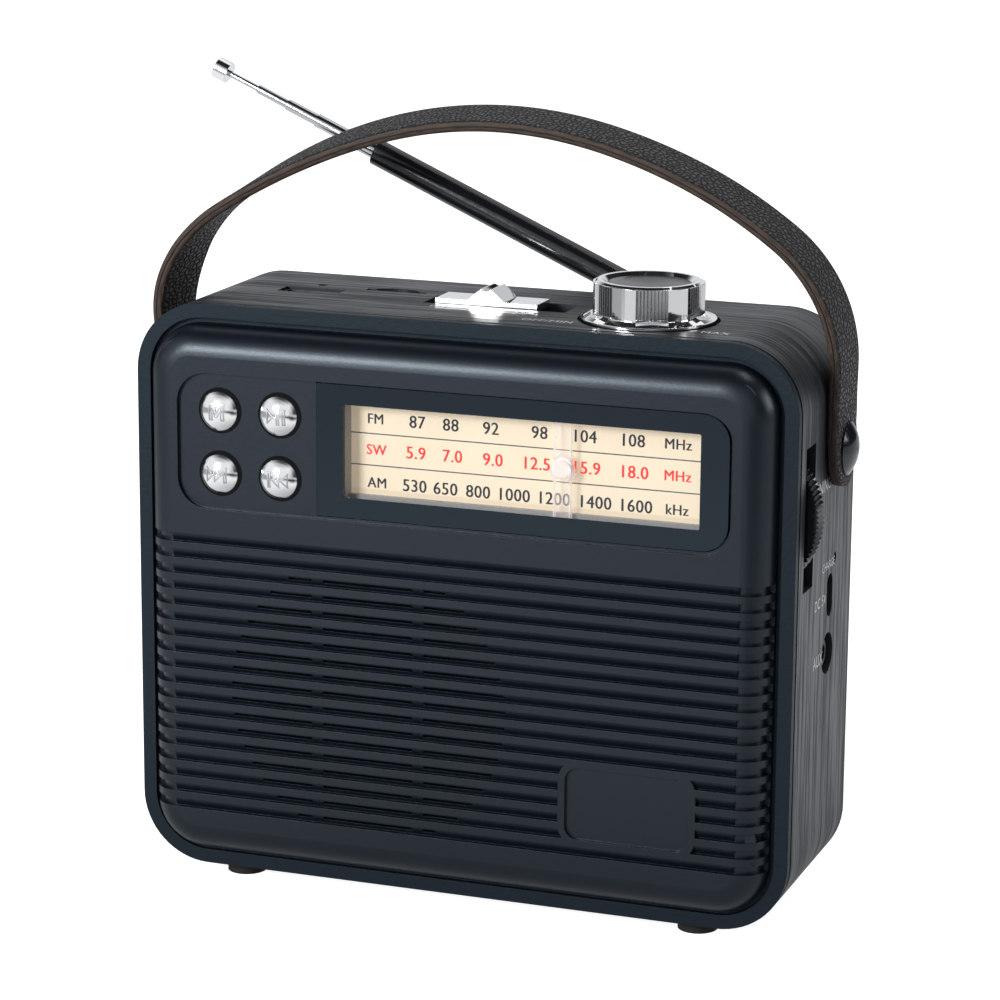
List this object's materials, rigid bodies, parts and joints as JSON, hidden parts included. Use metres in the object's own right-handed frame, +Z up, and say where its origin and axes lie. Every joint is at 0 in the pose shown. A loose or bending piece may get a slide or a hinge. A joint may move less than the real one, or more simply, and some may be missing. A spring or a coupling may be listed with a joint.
{
  "type": "portable radio",
  "caption": "Retro portable radio with wood-grain sleeve, black ribbed front, lit tuning dial, chrome controls, leather strap handle and telescopic antenna.",
  "frame": {"origin": "middle of the object's box, on the plane under the feet", "axes": "+Z up, +X to the right side with the tuning wheel as seen from the front, +Y to the back, the grille faces -Y"},
  "size_m": [0.1654, 0.0636, 0.1837],
  "materials": {
    "sleeve": "dark wood-grain film, satin",
    "front": "blue-black moulded plastic",
    "black_plastic": "satin black",
    "foot_rubber": "matte",
    "screw_steel": "plain",
    "lens_clear": "clear acrylic",
    "dial_paper": "warm lit print",
    "pointer_clear": "clear",
    "cord": "braided",
    "chrome": "polished",
    "white_plastic": "moulded",
    "metal_can": "plain",
    "board_green": "solder resist",
    "chip_black": "moulded",
    "cone_paper": "black pulp",
    "magnet": "dark ferrite",
    "led": "translucent red",
    "copper": "enamelled winding",
    "cell_wrap": "shrink wrap",
    "strap_leather": "pebbled charcoal, raw brown edges"
  },
  "bodies": {
    "case": {"cabinet": "sleeve", "front_panel": "front", "rear_cover": "black_plastic", "feet": "foot_rubber", "case_screws": "screw_steel", "dial_lens": "lens_clear", "dial_scale": "dial_paper", "dial_frame": "black_plastic", "pointer_rail": "screw_steel", "dial_cord": "cord", "tuning_pot": "white_plastic", "volume_pot": "metal_can", "pot_nut": "screw_steel", "band_switch": "metal_can", "button_board": "board_green", "tact_switches": "chip_black", "speaker_frame": "metal_can", "speaker_magnet": "magnet", "speaker_cone": "cone_paper", "main_board": "board_green", "board_components": "chip_black", "board_screws": "screw_steel", "top_board": "board_green", "usb_socket": "metal_can", "card_socket": "metal_can", "usb_c_socket": "metal_can", "aux_jack": "black_plastic", "charge_led": "led", "ferrite_rod": "magnet", "ferrite_coil": "copper", "rod_holders": "white_plastic", "battery_cell": "cell_wrap", "battery_contacts": "metal_can", "strap_rivets": "black_plastic"},
    "volume": {"volume_knob": "chrome", "knob_insert": "metal_can", "volume_shaft": "metal_can"},
    "tuning": {"tuning_wheel": "black_plastic", "tuning_shaft": "metal_can", "wheel_screw": "screw_steel"},
    "pointer": {"dial_pointer": "pointer_clear", "pointer_carriage": "black_plastic"},
    "pulley": {"cord_pulley": "white_plastic"},
    "band": {"band_slider": "chrome"},
    "mode_key": {"mode_button": "chrome"},
    "play_key": {"play_button": "chrome"},
    "next_key": {"next_button": "chrome"},
    "previous_key": {"previous_button": "chrome"},
    "handle": {"strap": "strap_leather"},
    "antenna_swivel": {"antenna_base": "black_plastic", "antenna_pin": "screw_steel"},
    "antenna_rod": {"antenna_sleeve": "black_plastic"},
    "rod_1": {"antenna_section_1": "chrome"},
    "rod_2": {"antenna_section_2": "chrome"},
    "rod_3": {"antenna_section_3": "chrome"},
    "rod_4": {"antenna_section_4": "chrome"},
    "rod_5": {"antenna_section_5": "chrome", "antenna_tip": "chrome"},
    "door": {"battery_door": "black_plastic"}
  },
  "joints": [
    {"name": "volume_turn", "type": "hinge", "parent": "case", "child": "volume", "pos_m": [0.0373, -0.00525, 0.135], "axis": [0, 0, 1], "range_deg": [-300, 0]},
    {"name": "tuning_turn", "type": "hinge", "parent": "case", "child": "tuning", "pos_m": [0.0618, -0.01475, 0.0954], "axis": [0, 1, 0], "range_deg": [-197.2, 116]},
    {"name": "pointer_travel", "type": "slide", "parent": "case", "child": "pointer", "axis": [1, 0, 0], "range_m": [-0.042, 0.0247]},
    {"name": "pulley_turn", "type": "hinge", "parent": "case", "child": "pulley", "pos_m": [-0.0295, -0.01915, 0.0954], "axis": [0, 1, 0], "range_deg": [-197.2, 116]},
    {"name": "band_select", "type": "slide", "parent": "case", "child": "band", "axis": [1, 0, 0], "range_m": [-0.0022, 0.0062]},
    {"name": "mode_press", "type": "slide", "parent": "case", "child": "mode_key", "axis": [0, 1, 0], "range_m": [0, 0.0008], "stiffness_N_per_m": 1200},
    {"name": "play_press", "type": "slide", "parent": "case", "child": "play_key", "axis": [0, 1, 0], "range_m": [0, 0.0008], "stiffness_N_per_m": 1200},
    {"name": "next_press", "type": "slide", "parent": "case", "child": "next_key", "axis": [0, 1, 0], "range_m": [0, 0.0008], "stiffness_N_per_m": 1200},
    {"name": "previous_press", "type": "slide", "parent": "case", "child": "previous_key", "axis": [0, 1, 0], "range_m": [0, 0.0008], "stiffness_N_per_m": 1200},
    {"name": "handle_swing", "type": "hinge", "parent": "case", "child": "handle", "pos_m": [0, 0.00575, 0.1072], "axis": [1, 0, 0], "range_deg": [-8, 34]},
    {"name": "antenna_turn", "type": "hinge", "parent": "case", "child": "antenna_swivel", "pos_m": [0.067, 0.02875, 0.1156], "axis": [0, 1, 0], "range_deg": [-23.9, 120]},
    {"name": "antenna_lift", "type": "hinge", "parent": "antenna_swivel", "child": "antenna_rod", "pos_m": [0.067, 0.02875, 0.1156], "axis": [-0.4051, 0, -0.9143], "range_deg": [0, 80]},
    {"name": "antenna_pull_1", "type": "slide", "parent": "antenna_rod", "child": "rod_1", "axis": [-0.9143, 0, 0.4051], "range_m": [-0.0065, 0.06]},
    {"name": "antenna_pull_2", "type": "slide", "parent": "rod_1", "child": "rod_2", "axis": [-0.9143, 0, 0.4051], "range_m": [-0.0065, 0.06]},
    {"name": "antenna_pull_3", "type": "slide", "parent": "rod_2", "child": "rod_3", "axis": [-0.9143, 0, 0.4051], "range_m": [-0.0065, 0.06]},
    {"name": "antenna_pull_4", "type": "slide", "parent": "rod_3", "child": "rod_4", "axis": [-0.9143, 0, 0.4051], "range_m": [-0.0065, 0.06]},
    {"name": "antenna_pull_5", "type": "slide", "parent": "rod_4", "child": "rod_5", "axis": [-0.9143, 0, 0.4051], "range_m": [-0.0065, 0.06]},
    {"name": "door_open", "type": "hinge", "parent": "case", "child": "door", "pos_m": [-0.02, 0.02385, 0.012], "axis": [-1, 0, 0], "range_deg": [0, 100]}
  ],
  "couplings": [
    {"joint": "pointer_travel", "follows": "tuning_turn", "m_per_rad": 0.0122},
    {"joint": "pulley_turn", "follows": "tuning_turn", "ratio": 1},
    {"joint": "antenna_pull_2", "follows": "antenna_pull_1", "ratio": 1},
    {"joint": "antenna_pull_3", "follows": "antenna_pull_1", "ratio": 1},
    {"joint": "antenna_pull_4", "follows": "antenna_pull_1", "ratio": 1},
    {"joint": "antenna_pull_5", "follows": "antenna_pull_1", "ratio": 1}
  ]
}
